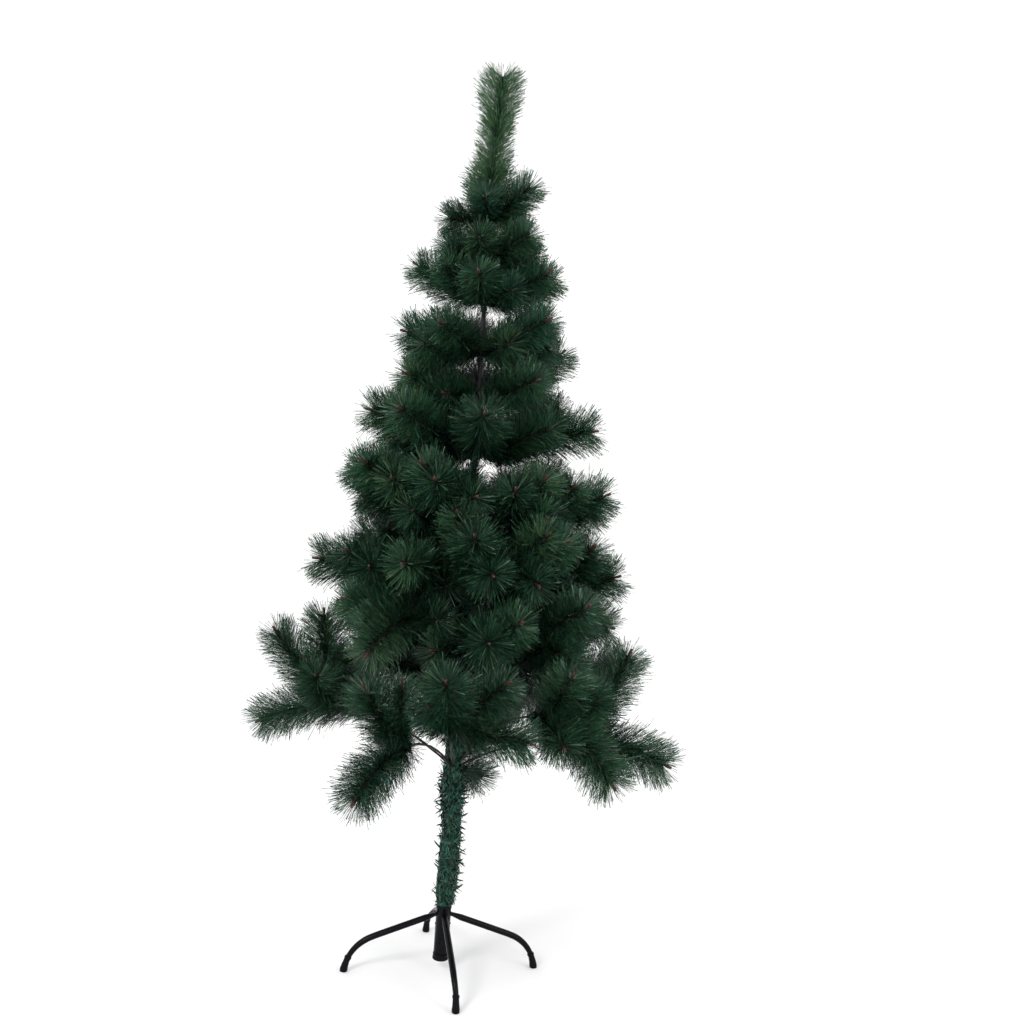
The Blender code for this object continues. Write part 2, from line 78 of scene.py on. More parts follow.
# boughs of each foliage mass: (azimuth, reach, climb, arch, side twigs), and each side twig is
# (swing, climb, length): angles in degrees, azimuth from +X, and lengths in metres
MASSES = (
    ("a", "", ((-40, 0.084, 0.053, 0.0, ()), (-152, 0.070, 0.000, 0.0, ()),
               (100, 0.060, 0.075, 0.0, ()))),
    ("b", "", ((-42, 0.086, 0.040, 0.0, ()), (-150, 0.072, 0.012, 0.0, ()),
               (80, 0.085, 0.045, 0.0, ()))),
    ("c", "left", ((170, 0.122, 0.064, -0.004, ()),)),
    ("c", "front", ((-96, 0.120, 0.045, 0.0, ()), (-33, 0.121, 0.058, -0.004, ()))),
    ("c", "back", ((40, 0.110, 0.070, 0.0, ()), (105, 0.120, 0.065, 0.0, ()))),
    ("d", "left", ((-165, 0.135, 0.032, 0.0, ()), (-122, 0.130, 0.047, 0.0, ()))),
    ("d", "right", ((-62, 0.090, 0.020, 0.0, ()), (-38, 0.135, 0.065, 0.0, ()))),
    ("d", "back", ((30, 0.130, 0.070, 0.0, ()), (100, 0.130, 0.060, 0.0, ()))),
    ("e", "left", ((-148, 0.143, 0.043, 0.0, ()), (165, 0.132, 0.045, 0.0, ()))),
    ("e", "front", ((-125, 0.100, 0.015, 0.0, ()), (-52, 0.150, 0.045, 0.0, ()))),
    ("e", "right", ((22, 0.150, 0.100, -0.010, ()), (90, 0.150, 0.060, 0.0, ()))),
    ("f", "left", ((-158, 0.190, 0.072, 0.010, ()), (-130, 0.190, 0.080, 0.0, ()))),
    ("f", "front", ((-87, 0.195, 0.080, 0.0, ()), (-18, 0.203, 0.062, 0.008, ()))),
    ("f", "back", ((45, 0.190, 0.070, 0.010, ()), (97, 0.200, 0.070, 0.010, ()),
                   (148, 0.190, 0.075, 0.0, ()))),
    ("g", "left", ((-143, 0.219, 0.113, -0.003, ((29, 20, 0.12), (-25, 2, 0.10))),)),
    ("g", "front", ((-106, 0.210, 0.095, 0.0, ((33, 14, 0.12), (-20, 38, 0.12))),)),
    ("g", "front_right", ((-57, 0.215, 0.045, 0.0, ((-26, 34, 0.12), (6, 42, 0.13))),)),
    ("g", "right", ((-15, 0.228, 0.080, -0.005, ((-40, 30, 0.125), (32, 7, 0.125))),)),
    ("g", "back_right", ((55, 0.220, 0.085, 0.010, ((-36, 25, 0.12), (34, 10, 0.12))),)),
    ("g", "back_left", ((128, 0.225, 0.085, 0.010, ((-34, 10, 0.12), (36, 28, 0.12))),)),
    ("h", "left", ((-168, 0.253, 0.070, 0.012, ((38, 22, 0.135), (63, 13, 0.15))),)),
    ("h", "front", ((-114, 0.240, 0.090, 0.020, ()),
                    (-81, 0.255, 0.084, 0.030, ((-34, 49, 0.14), (-14, 31, 0.145))))),
    ("h", "front_right", ((-64, 0.250, 0.070, 0.030, ((10, 36, 0.15), (28, 30, 0.15))),)),
    ("h", "right", ((-15, 0.255, 0.075, -0.005, ((-32, 38, 0.16), (32, 28, 0.13))),)),
    ("h", "back_right", ((52, 0.250, 0.090, 0.030, ((-34, 12, 0.14), (32, 30, 0.13))),)),
    ("h", "back_left", ((125, 0.255, 0.090, 0.030, ((-34, 28, 0.13), (38, 10, 0.14))),)),
    ("i", "left", ((145, 0.240, 0.095, 0.040, ((-36, 14, 0.12), (30, 12, 0.10))),)),
    ("i", "front_left", ((-117, 0.305, 0.077, 0.073, ((-18, 0, 0.12), (-54, 15, 0.125))),)),
    ("i", "front", ((-82, 0.285, 0.110, 0.020, ((22, 26, 0.15), (-45, 5, 0.11))),)),
    ("i", "front_right", ((-50, 0.271, 0.067, 0.047, ((3, 30, 0.17), (39, 22, 0.13))),)),
    ("i", "right", ((6, 0.255, 0.095, 0.040, ((-32, 24, 0.12), (36, 10, 0.12))),)),
    ("i", "back", ((78, 0.290, 0.090, 0.050, ((-38, 12, 0.14), (36, 24, 0.14))),)),
    ("j", "left", ((166, 0.355, 0.036, 0.062,
                    ((9, 44, 0.183), (36, 74, 0.176), (87, 30, 0.16), (-45, 17, 0.135))),)),
    ("j", "front_left", ((-112, 0.372, 0.032, 0.063, ((-16, 47, 0.15), (15, 62, 0.13))),)),
    ("j", "front", ((-93, 0.361, 0.222, -0.006,
                     ((64, 0, 0.145), (47, 38, 0.155), (-13, 26, 0.13))),)),
    ("j", "front_right", ((-50, 0.370, 0.061, 0.098,
                           ((-12, 47, 0.12), (-25, -9, 0.12), (32, 24, 0.10))),)),
    ("j", "right", ((-24, 0.370, 0.064, 0.048,
                     ((5, 61, 0.178), (-59, 42, 0.16), (59, -24, 0.10))),)),
    ("j", "back_right", ((42, 0.350, 0.060, 0.080,
                          ((-38, 24, 0.15), (24, 22, 0.15), (75, -20, 0.15))),)),
    ("j", "back_left", ((96, 0.360, 0.050, 0.080,
                         ((-80, -20, 0.15), (-28, 30, 0.14), (40, 16, 0.16))),)),
)

# ---- needles ----
NEEDLE_LENGTH = 0.052
NEEDLE_WIDTH = 0.00090
NEEDLES_PER_METRE = 17000
NEEDLE_ROOT = 0.7           # how far out in its wire a needle starts, as a share of the radius
NEEDLE_LEAN = 51.0          # degrees between a needle and its wire
TIP_LEAN = 56.0             # the same at the wire's tip
LEAN_SPREAD = 8.0
TIP_SHORT = 0.34            # how much shorter the needles are at a wire's tip
TIP_STRETCH = 0.025         # length of wire over which they get shorter
START_SHARE = 0.72          # length of a brush's first needles, as a share of the full length
START_STRETCH = 0.03        # length of wire over which they grow to the full length
FORWARD_BOW = 0.003         # how far a needle bows towards its wire's tip
WIND_PITCH = 0.050          # length of wire per turn of the twisted brush
WIND_SPREAD = 0.95          # how far needles stray round the wire from that winding, in radians
FLATNESS = 0.6              # depth over width of a brush, pressed flat in its box
DEPTH = (0.0, 1.0, 0.0)     # the way that it is pressed
SIDEWAYS = (0.15, 0.0, 0.0)     # keeps its width level on a wire that points that way itself
BARE_TIP = 0.013            # wire end with no needles

# needles lie together in strands: how many, and how far each one strays from its strand
NEEDLE_CLUMP = 2
CLUMP_ALONG = 0.0015
CLUMP_TURN = 0.26           # round the wire, in radians
CLUMP_LEAN = 7.0            # in degrees
CLUMP_LOOSENESS = (0.7, 1.5)    # least and most factor on those two, drawn for each wire
CLUMP_BOW = 0.0012
CLUMP_LENGTHS = (0.90, 1.06)    # least and most share of its strand's length
CLUMP_WIDTHS = (0.8, 1.2)   # least and most share of NEEDLE_WIDTH
# and the strands themselves: least and most share of NEEDLE_LENGTH, and how far they bow
STRAND_LENGTHS = (0.80, 1.04)
STRAND_BOW = 0.0030

# share of each of the first four greens in a brush, by its own shade; the last is the leader's
SHADES = (
    (0.30, 0.50, 0.10, 0.10),
    (0.10, 0.62, 0.10, 0.18),
    (0.10, 0.35, 0.45, 0.10),
    (0.10, 0.40, 0.05, 0.45),
    (0.00, 0.35, 0.00, 0.65),
)
SHADE_ODDS = (0.30, 0.34, 0.14, 0.22, 0.0)
LEADER_SHADE = 4
SHADE_GREEN = 0                    # place of the darkest green among the materials, which also paints shade
HIGHLIGHT_GREEN = 4                    # and of the palest, which paints glints and rim light
ROOT_SHADE = 0.90            # painted shade: share of needles that are deep green near the wire
SHADE_SHARES = (0.16, 0.42)  # along a needle: where its own green starts, where the painted shade near the wire ends
BLUNT_SHARE = 0.55          # share of needles that are wider at the tip
GLINT_SHARE = 0.025         # painted glints: share of needles that are short and pale
GLINT_TIP = 3.0             # how many times that share is added at a wire's tip
GLINT_LENGTH = 0.3          # their length, as a share of the others'

# painted shade: needles are deep green towards the pole, where shade falls inside the tree; by a
# wire's tip height: the tree's rim, and how fast their shaded share grows from there inwards
SHADE_RECESSES = (
    (0.32, 0.10, 0.3),
    (0.37, 0.36, 2.0),
    (0.60, 0.28, 3.0),
    (0.86, 0.22, 3.0),
    (0.93, 0.19, 0.4),
    (1.05, 0.13, 0.4),
    (1.30, 0.08, 0.4),
)
RIM_SHARE = 0.8             # share of the rim's distance from which it grows
CORE_SHARE = 0.40           # share of that distance within which it grows no more
DARK_CORE = 0.05            # least distance from which it grows, in metres
END_ON_SHADE = 0.45          # painted shade: how many more are deep green on a wire that points front or back
RIM_LIGHT_SHARE = 0.14          # painted rim light: share of needles that turn pale at the outside of the tree
RIM_LIGHT_RISE = 4.0           # how fast that share is reached beyond that distance

# ---- wires ----
# places of their materials
DARK_WIRE = 0
WRAPPED = 1
BUD = 2
WIRE_RADIUS = 0.0021
WIRE_SIDES = 5
WIRE_SPACING = 0.0055
WIRE_TWIST = 0.010          # length per turn of the wires' twist
WIRE_RELIEF = 0.18          # how far its strands stand out, as a share of the radius
BUD_RADIUS = 0.0023
BUD_LENGTH = 0.010
BUD_SIDES = 6
BUD_INSIDE = 0.8            # share of a bud that lies on its wire
# share along a bud and share of its radius
BUD_OUTLINE = ((0.0, 0.6), (0.12, 0.9), (0.35, 1.0), (0.6, 0.92), (0.85, 0.98), (1.0, 0.55))

# ---- boughs and twigs ----
BUD_REACH = 0.095           # boughs no longer than this have no bud
BOUGH_START = 0.10          # share of a bough at which its needles start
LOW_START = 0.05            # in the lowest tier they start this share before its fork
LOW_BARE = 0.8              # share of such a bough's wire that is bare
TWIG_START = 0.06           # share of a twig at which its needles start
TWIG_DARK_SHARE = 0.6             # share of every other wire that is dark
TWIG_WIRE = 0.9             # and its radius, as a share of such a bough's
TWIG_SIZE = 0.96            # its brush, as a share of its bough's
TWIG_ALONG = 0.14           # share of a twig's length that pulls it along its bough
TWIG_AHEAD = 0.20           # and that pulls it straight to its tip
EXTRA_SIZE = 0.95           # brush of an extra bough, as a share of its tier's

# runs of needles on the leader: from and to height, lean, size
LEADER_RUNS = (
    (1.235, 1.330, 62.0, 1.00),
    (1.300, 1.410, 56.0, 0.72),
    (1.385, 1.478, 54.0, 0.88),
)
LEADER_FLATNESS = 0.5
LEADER_DENSITY = 1.1        # needles per metre, as a share of the other wires'
LEADER_STEPS = 20

# more twigs, only in the needles: tier, place, bough's number, where it forks off, side twig
EXTRA_TWIGS = (
    ("g", "left", 0, 0.60, (-25, 20, 0.10)),
    ("h", "front", 0, 0.30, (31, 65, 0.14)),
    ("h", "front", 1, 0.30, (-20, 40, 0.10)),
    ("j", "left", 0, 0.40, (80, 40, 0.12)),
    ("j", "left", 0, 0.40, (62, 62, 0.14)),
)

# more boughs between the others, only in the needles and with no bud: azimuth, reach, climb
EXTRA_BOUGHS = {
    "a": ((20, 0.060, 0.020), (-95, 0.060, 0.035), (95, 0.060, -0.015)),
    "b": ((20, 0.070, 0.045), (-100, 0.075, 0.030), (-25, 0.085, 0.004), (150, 0.075, 0.030),
          (60, 0.060, -0.020)),
    "c": ((5, 0.110, 0.050), (-140, 0.085, 0.055), (-60, 0.085, 0.022)),
    "d": ((-5, 0.110, 0.020), (-140, 0.120, 0.010), (140, 0.110, 0.050), (160, 0.110, 0.020)),
    "e": ((-28, 0.110, 0.030), (-138, 0.110, 0.005), (150, 0.120, 0.070), (130, 0.130, 0.040),
          (30, 0.120, 0.070)),
    "f": ((-35, 0.140, 0.060), (-158, 0.130, 0.032), (150, 0.150, 0.090), (15, 0.140, 0.090),
          (165, 0.150, 0.040)),
    "g": ((-100, 0.095, 0.100), (-120, 0.180, 0.040), (-42, 0.180, 0.050), (-165, 0.170, 0.050),
          (20, 0.170, 0.050), (90, 0.180, 0.050)),
    "h": ((-140, 0.190, 0.050), (-35, 0.190, 0.050), (88, 0.190, 0.050), (102, 0.120, 0.000)),
    "i": ((-140, 0.185, 0.045), (-20, 0.200, 0.060), (40, 0.200, 0.060), (115, 0.200, 0.060)),
    "j": ((58, 0.085, -0.030), (60, 0.200, 0.120)),
}

# a short seeded twig between each bough's own ones, in the full tiers: least and most of each
FILLER_TIERS = ("g", "h", "i")
FILLER_SHIFT = (-0.15, 0.15)    # from the tier's fork, as a share of the bough
FILLER_SWING = (25.0, 60.0)
FILLER_CLIMB = (-20.0, 30.0)
FILLER_LENGTH = (0.070, 0.095)

# foliage pieces: the tiers that each one joins; j_left has the left masses of tier j
PIECES = (
    ("top", ("spire", "a", "b", "c", "d")),
    ("upper", ("e", "f")),
    ("g", ("g",)),
    ("h", ("h",)),
    ("i", ("i",)),
    ("j_left", ()),
    ("j_right", ("j",)),
)

# ---- pole ----
# places of its materials
PAINTED = 0
BINDING = 1
LEADER = 2
POLE_STEP = 0.003
POLE_SIDES = 16
TAPE_PITCH = 0.012
TAPE_RELIEF = 0.0003
LEADER_SIDES = 8
LEADER_RELIEF = 0.15
COIL_WIRE = 0.0012          # radius of the wire that binds a tier's boughs to the pole
COIL_SIDES = 6
COIL_TURNS = 5
COIL_STEPS = 10             # to a turn
COIL_PITCH = 0.0026
COIL_DROP = 0.010           # how far under its tier's height it starts

# ---- tinsel garland: height, outer radius and sideways shift along the pole ----
TINSEL_LOWER = (
    (0.113, 0.0140, 0.000),
    (0.140, 0.0175, 0.003),
    (0.205, 0.0185, 0.004),
    (0.245, 0.0160, 0.004),
    (0.275, 0.0180, 0.002),
    (0.305, 0.0245, 0.001),
    (0.330, 0.0230, 0.000),
    (0.345, 0.0180, 0.000),
)
TINSEL_UPPER = (
    (0.345, 0.0150, 0.000),
    (0.400, 0.0150, 0.000),
    (0.700, 0.0145, 0.000),
)
TINSEL_LENGTH = 0.020
TINSEL_WIDTH = 0.0028
TINSEL_PER_METRE = 11000
TINSEL_LENGTHS = (0.6, 1.1)     # least and most share of TINSEL_LENGTH
TINSEL_WIDTHS = (0.6, 1.15)     # and of TINSEL_WIDTH
TINSEL_TAPER = (0.6, 1.0, 1.0, 0.85)    # width at each station before the pointed end
TINSEL_STATIONS = (0.0, 0.3, 0.55, 0.8, 1.0)    # shares along a strip
TINSEL_ROOT = 0.0008        # how far off the pole's skin the strips start
TINSEL_DEPTHS = (0.35, 1.0)     # share of the way to the outer radius where they turn
TINSEL_CLIMB = (90.0, 38.0)     # middle and spread of their slope round the pole, in degrees
TINSEL_TILT = 0.35          # spread of the way that their flat side faces
TINSEL_LIFTS = (-0.15, 0.18)    # how far they point outwards, least and most
TINSEL_PAST = 0.002         # how far past the outer radius they may reach
TINSEL_STRAY = 0.10         # share of them that stick out
STRAY_LIFTS = (0.25, 0.9)   # TINSEL_LIFTS for those
STRAY_PAST = 0.011          # TINSEL_PAST for those
FOIL_ODDS = (0.40, 0.32, 0.28)  # share of each of the three foils; the teal one has a painted highlight, the dark one is painted shade

# ---- stand, as in the CAD model ----
# places of the socket's materials
STEEL = 0
RIVET = 1
FOOT_REACH = 0.162
STAND_TURN = 10.5
# legs: side, azimuth of the foot before that turn, swing of the foot out of the leg's own line
LEGS = (("right", 0.0, 0.0), ("back", 90.0, 5.0), ("left", 180.0, 0.0), ("front", 270.0, 1.0))
LEG_RADIUS = 0.0053
LEG_TOP = 0.0965
LEG_TAPER = ((0.0, 1.0), (0.70, 1.0), (0.88, 0.87), (1.0, 0.84))    # share along, share of radius
LEG_FLAT = ((0.0, 0.55), (0.010, 0.60), (0.026, 1.0))   # length along, thickness over width
TUBE_SIDES = 24
CAP_RADIUS = 0.0062
CAP_HEIGHT = 0.026
# height and share of the cap's radius
CAP_OUTLINE = ((0.0, 0.80), (0.0005, 0.92), (0.0016, 1.02), (0.0050, 1.05), (0.0100, 0.94),
               (0.0190, 0.83), (0.0216, 0.84), (0.0224, 0.95), (0.0246, 0.96), (0.0260, 0.84))
SOCKET_RADIUS = 0.0125
SOCKET_BORE = 0.0106
SOCKET_BOTTOM = 0.030
SOCKET_TOP = 0.112
SOCKET_LIP = 0.0007
SOCKET_SIDES = 40
CREASE_ANGLE = 35.0
RIVET_HEIGHTS = (0.094, 0.080)
RIVET_SINK = 0.0001
RIVET_SIDES = 16
# radius and height, from the middle of the top round to the middle of the underside
RIVET_DOME = ((0.0, 0.0012), (0.0009, 0.0011), (0.0017, 0.0007), (0.0021, 0.0), (0.0, -0.0004))
PLUG_RADIUS = 0.0135
PLUG_BOTTOM = 0.018

# ---- materials, floor, light and camera ----
NOISE_DETAIL = 3.0
NOISE_BAND = (0.35, 0.65)   # stretch of a noise over which a colour turns to the lighter one
BUMP_HEIGHT = 0.001
FLOOR_HALF = 12.0
SKY_STRENGTH = 1.12
# lights: place, point they face, size and power
LIGHTS = {
    "key": ((-1.6, -2.6, 2.6), (0.0, 0.0, 0.8), 1.2, 60.0),
    "fill": ((2.2, -1.8, 1.6), (0.0, 0.0, 0.7), 1.6, 20.0),
}
CAMERA_PLACE = (0.0, -2.193, 0.949)
CAMERA_YAW = 1.765          # degrees towards +X
CAMERA_PITCH = -4.376
CAMERA_ROLL = 4.036
SENSOR_WIDTH = 36.0
FOCAL_SHARE = 1337.0 / 1024.0   # focal length over the picture's width

rng = np.random.default_rng(7)


# ---- paths ----
def unit(vectors):
    return vectors / np.linalg.norm(vectors, axis=-1, keepdims=True)


def polar(azimuth, reach, height):
    angle = math.radians(azimuth)
    return np.array((reach * math.cos(angle), reach * math.sin(angle), height))


def read_off(rows, places, column=1):
    """Values in a table's column at some places in its first column."""
    return np.interp(places, [row[0] for row in rows], [row[column] for row in rows])


def pole_value(height, column):
    return float(read_off(POLE, height, column))


def bough_point(tier, bough, share):
    """Point on a bough: from the pole, climbing evenly and bowed up by its arch."""
    azimuth, reach, climb, arch, _ = bough
    height = TIERS[tier][0]
    rise = climb * share + 4.0 * arch * share * (1.0 - share)
    root = np.array((pole_value(height, 1), 0.0, height))
    return root + polar(azimuth, reach * share, rise)


def bough_path(tier, bough, steps=16):
    return np.array([bough_point(tier, bough, share) for share in np.linspace(0.0, 1.0, steps)])


def twig_path(tier, bough, fork_share, twig, steps=12):
    """A side twig: it leaves along its bough and bends out to its own swing and climb."""
    step = 0.02
    fork = bough_point(tier, bough, fork_share)
    along = unit(bough_point(tier, bough, fork_share + step) - fork)
    swing, climb, length = twig
    flat = length * math.cos(math.radians(climb))
    tip = fork + polar(bough[0] + swing, flat, length * math.sin(math.radians(climb)))
    bend = fork + along * TWIG_ALONG * length + (tip - fork) * TWIG_AHEAD
    share = np.linspace(0.0, 1.0, steps)[:, None]
    return fork * (1 - share) ** 2 + bend * 2 * share * (1 - share) + tip * share ** 2


def path_frames(points):
    """Tangent and two sideways directions at each point of a path."""
    ahead = unit(np.gradient(points, axis=0))
    upright = np.eye(3)[np.argmin(np.abs(ahead).max(axis=0))]
    side = unit(np.cross(ahead, upright))
    return ahead, side, np.cross(ahead, side)


def arc_lengths(points):
    steps = np.linalg.norm(np.diff(points, axis=0), axis=1)
    return np.concatenate(([0.0], np.cumsum(steps)))


def along_path(points, arcs, places):
    """Values of a per-point array at some distances along its path."""
    return np.stack([np.interp(places, arcs, points[:, axis]) for axis in range(3)], axis=1)


def resampled(points, spacing):
    arcs = arc_lengths(points)
    count = max(3, int(round(arcs[-1] / spacing)) + 1)
    return along_path(points, arcs, np.linspace(0.0, arcs[-1], count))


def smooth_path(points, steps):
    """Catmull-Rom curve through a few points, with some steps to each stretch."""
    points = np.asarray(points, dtype=float)
    ends = np.concatenate((2 * points[:1] - points[1:2], points, 2 * points[-1:] - points[-2:-1]))
    made = []
    for i in range(len(points) - 1):
        before, here, there, after = ends[i:i + 4]
        for share in np.arange(steps) / steps:
            made.append(0.5 * (2 * here + (there - before) * share
                               + (2 * before - 5 * here + 4 * there - after) * share ** 2
                               + (3 * here - before - 3 * there + after) * share ** 3))
    made.append(points[-1])
    return np.array(made)


# ---- mesh making ----
class Soup:
    """Vertices and triangles of many small things, on their way to one mesh."""

    def __init__(self):
        self.points = []
        self.faces = []
        self.paints = []
        self.count = 0

    def add(self, points, faces, paint):
        self.points.append(points)
        self.faces.append(faces + self.count)
        self.paints.append(np.broadcast_to(paint, len(faces)))
        self.count += len(points)

    def to_object(self, name, materials, smooth=False):
        points = np.concatenate(self.points)
        faces = np.concatenate(self.faces)
        mesh = bpy.data.meshes.new(name)
        mesh.vertices.add(len(points))
        mesh.vertices.foreach_set("co", points.astype(np.float32).ravel())
        mesh.loops.add(faces.size)
        mesh.loops.foreach_set("vertex_index", faces.astype(np.int32).ravel())
        mesh.polygons.add(len(faces))
        mesh.polygons.foreach_set("loop_start", np.arange(0, faces.size, 3, dtype=np.int32))
        mesh.polygons.foreach_set("material_index", np.concatenate(self.paints).astype(np.int32))
        mesh.polygons.foreach_set("use_smooth", np.full(len(faces), smooth))
        for paint in materials:
            mesh.materials.append(paint)
        mesh.update(calc_edges=True)
        mesh.validate()
        made = bpy.data.objects.new(name, mesh)
        bpy.context.scene.collection.objects.link(made)
        return made


def add_strips(soup, spines, edges, widths, profile, paints):
    """Strips of film along spines that end in a point. The profile is the width at each
    station before the last one, over the strip's own width."""
    count, stations, _ = spines.shape
    half = 0.5 * widths[:, None, None] * edges[:, None] * np.asarray(profile)[None, :, None]
    size = 2 * stations - 1
    points = np.empty((count, size, 3))
    points[:, 0:size - 1:2] = spines[:, :-1] - half
    points[:, 1:size - 1:2] = spines[:, :-1] + half
    points[:, -1] = spines[:, -1]
    faces = []
    for low in range(0, size - 3, 2):
        faces += [(low, low + 1, low + 3), (low, low + 3, low + 2)]
    faces.append((size - 3, size - 2, size - 1))
    faces = np.array(faces)[None] + size * np.arange(count)[:, None, None]
    paints = np.repeat(paints, faces.shape[1])
    soup.add(points.reshape(-1, 3), faces.reshape(-1, 3), paints)


def add_rope(soup, points, radii, sides, paint, twist=0.0, relief=0.0, squash=None):
    """Closed tube along a path. With a twist, two wound strands show as its relief."""
    ahead, side, other = path_frames(points)
    arcs = arc_lengths(points)
    angles = np.linspace(0.0, 2.0 * math.pi, sides, endpoint=False)
    swell = np.ones((len(points), sides))
    if twist:
        wind = 2.0 * math.pi * arcs / twist
        swell += relief * np.cos(2.0 * (angles[None] - wind[:, None]))
    reach = np.asarray(radii)[:, None] * swell
    flat = np.ones(len(points)) if squash is None else np.asarray(squash)
    ring = (side[:, None] * np.cos(angles)[None, :, None] * flat[:, None, None]
            + other[:, None] * np.sin(angles)[None, :, None])
    skin = points[:, None] + ring * reach[:, :, None]
    skin = np.concatenate((skin.reshape(-1, 3), points[:1], points[-1:]))
    faces = []
    last = len(points) - 1
    start_cap = len(points) * sides
    rows = np.arange(last) * sides
    for i in range(sides):
        j = (i + 1) % sides
        faces.append(np.stack((rows + i, rows + j, rows + sides + j), axis=1))
        faces.append(np.stack((rows + i, rows + sides + j, rows + sides + i), axis=1))
        faces.append(np.array(((start_cap, j, i),)))
        faces.append(np.array(((start_cap + 1, last * sides + i, last * sides + j),)))
    soup.add(skin, np.concatenate(faces), paint)


def add_turned(soup, profile, sides, paint, axis_point=(0.0, 0.0, 0.0), axis=(0.0, 0.0, 1.0)):
    """Turned body about an axis: a closed ring of (radius, height) points, or one that starts
    and ends on the axis."""
    profile = np.asarray(profile, dtype=float)
    closed = profile[0, 0] > 0.0
    axis = unit(np.asarray(axis, dtype=float))
    across = unit(np.cross(axis, (0.3, 0.2, 0.9) if abs(axis[2]) < 0.9 else (1.0, 0.0, 0.0)))
    other = np.cross(axis, across)
    angles = np.linspace(0.0, 2.0 * math.pi, sides, endpoint=False)
    around = (across[None] * np.cos(angles)[:, None] + other[None] * np.sin(angles)[:, None])
    points = (np.asarray(axis_point)[None, None] + profile[:, None, 0, None] * around[None]
              + profile[:, None, 1, None] * axis[None, None])
    count = len(profile)
    faces = []
    for row in range(count if closed else count - 1):
        low = row * sides
        high = (row + 1) % count * sides
        for i in range(sides):
            j = (i + 1) % sides
            if closed or row < count - 2:
                faces.append((low + i, high + j, high + i))
            if closed or row > 0:
                faces.append((low + i, low + j, high + j))
    points = points.reshape(-1, 3)
    soup.add(points, np.array(faces), paint)


# ---- twigs ----
def brush_frames(points):
    """Tangent of a wire, its brush's wide direction across the front view, and its depth."""
    ahead = unit(np.gradient(points, axis=0))
    wide = np.cross(ahead, DEPTH) + SIDEWAYS
    wide = unit(wide - ahead * (wide * ahead).sum(axis=1, keepdims=True))
    return ahead, wide, np.cross(ahead, wide)


def needle_paints(wire, roots, shade, greens, glints):
    """Two paints for each needle: near its wire and outside. Painted shade: more needles are deep
    green towards the pole, near the wire and on wires that point to the front or back. Painted
    light: more are pale at the tree's rim, and the short pale needles are glints."""
    count = len(roots)
    tip = wire[-1]
    rim = max(math.hypot(*tip[:2]), read_off(SHADE_RECESSES, tip[2]))
    off_pole = np.hypot(roots[:, 0], roots[:, 1]) / max(DARK_CORE, RIM_SHARE * rim)
    shade_power = read_off(SHADE_RECESSES, tip[2], 2)
    end_on = unit(tip - wire[0])[1] ** 2
    lit = np.clip(off_pole, CORE_SHARE, 1.0) ** shade_power * (1.0 - END_ON_SHADE * end_on)
    # painted shade: more needles deep green towards the pole and on wires seen end on
    shaded = rng.random(count) > lit
    shaded &= shade != LEADER_SHADE
    # painted rim light: needles turn pale at the outside of the tree, fewer on end-on wires
    rim_light = (1.0 - end_on) * np.clip(RIM_LIGHT_RISE * (off_pole - 1.0), 0.0, 1.0)
    pale = glints | (rng.random(count) < RIM_LIGHT_SHARE * rim_light)
    outer = np.where(pale, HIGHLIGHT_GREEN, np.where(shaded, SHADE_GREEN, greens))
    # painted shade: most needles are deep green near their wire
    inner = np.where(rng.random(count) < ROOT_SHADE, SHADE_GREEN, outer)
    return np.stack((inner, outer), axis=1).ravel()


